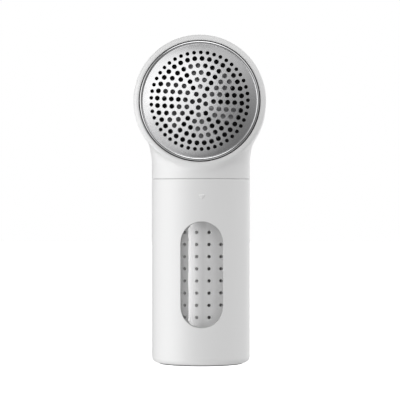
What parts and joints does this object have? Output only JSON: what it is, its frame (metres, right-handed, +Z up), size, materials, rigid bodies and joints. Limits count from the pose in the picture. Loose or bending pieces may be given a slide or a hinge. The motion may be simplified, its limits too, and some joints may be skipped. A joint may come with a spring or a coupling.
{
  "type": "fabric shaver",
  "caption": "Cordless fabric shaver: round perforated shaving head on a cylindrical grip that is the lint bin, with a clear slot window.",
  "frame": {"origin": "middle of the base face that it stands on, on the grip's axis", "axes": "+Z up the grip, the perforated foil faces -Y, +X to the right of someone facing the foil"},
  "size_m": [0.0688, 0.06, 0.1722],
  "materials": {
    "shell_white": "satin moulded plastic",
    "clear_window": "polished clear plastic",
    "basket_white": "fine matt moulded plastic",
    "foot_rubber": "soft matt rubber",
    "bezel_chrome": "polished plating",
    "foil_steel": "circular brushed sheet",
    "blade_steel": "ground steel",
    "dark_plastic": "fine matt moulded plastic",
    "hub_plastic": "fine matt moulded plastic",
    "motor_steel": "plated drawn steel",
    "magnet_ferrite": "sintered",
    "motor_copper": "enamelled windings",
    "terminal_brass": "stamped sheet",
    "felt_grey": "pressed felt",
    "board_green": "lacquered board",
    "cell_foil": "laminated pouch",
    "lead_red": "insulated wire",
    "lead_black": "insulated wire",
    "socket_steel": "bright plated sheet",
    "screw_steel": "zinc plated",
    "light_pipe": "frosted clear plastic",
    "button_white": "satin moulded plastic",
    "switch_black": "moulded plastic"
  },
  "bodies": {
    "lint_bin": {"handle_sleeve": "shell_white", "window_lens": "clear_window", "lint_basket": "basket_white", "base_plate": "basket_white", "base_screws": "screw_steel", "foot_ring": "foot_rubber"},
    "head": {"head_shell": "shell_white", "rear_cover": "shell_white", "bin_coupler": "basket_white", "coupler_seal": "foot_rubber", "coupler_screws": "screw_steel", "cutter_chamber": "dark_plastic", "chamber_screws": "screw_steel", "housing_screws": "screw_steel", "motor_can": "motor_steel", "motor_screws": "screw_steel", "motor_magnets": "magnet_ferrite", "motor_end_cap": "switch_black", "motor_terminals": "terminal_brass", "shaft_seal": "felt_grey", "control_board": "board_green", "tact_switch": "switch_black", "usb_socket": "socket_steel", "status_led": "light_pipe", "battery_cell": "cell_foil", "battery_tray": "dark_plastic", "motor_leads": "lead_red", "battery_leads": "lead_black", "interlock_switch": "switch_black"},
    "foil_cap": {"foil": "foil_steel", "foil_ring": "bezel_chrome", "foil_carrier": "dark_plastic"},
    "cutter": {"cutter_blades": "blade_steel", "cutter_hub": "hub_plastic", "float_spring": "screw_steel", "drive_dog": "hub_plastic", "motor_shaft": "screw_steel", "motor_armature": "motor_copper"},
    "button": {"power_button": "button_white"},
    "interlock": {"interlock_pin": "basket_white"}
  },
  "joints": [
    {"name": "head_lift", "type": "slide", "parent": "lint_bin", "child": "head", "axis": [0, 0, 1], "range_m": [0, 0.03]},
    {"name": "foil_cap_pull", "type": "slide", "parent": "head", "child": "foil_cap", "axis": [0, -1, 0], "range_m": [0, 0.02]},
    {"name": "cutter_spin", "type": "hinge", "parent": "head", "child": "cutter", "pos_m": [0, 0, 0.1378], "axis": [0, -1, 0], "continuous": true},
    {"name": "button_push", "type": "slide", "parent": "head", "child": "button", "axis": [0, -1, 0], "range_m": [0, 0.0007], "stiffness_N_per_m": 900},
    {"name": "interlock_slide", "type": "slide", "parent": "head", "child": "interlock", "axis": [0, -1, 0], "range_m": [0, 0.0015]}
  ],
  "couplings": [
    {"joint": "interlock_slide", "follows": "foil_cap_pull", "ratio": 0.075}
  ]
}
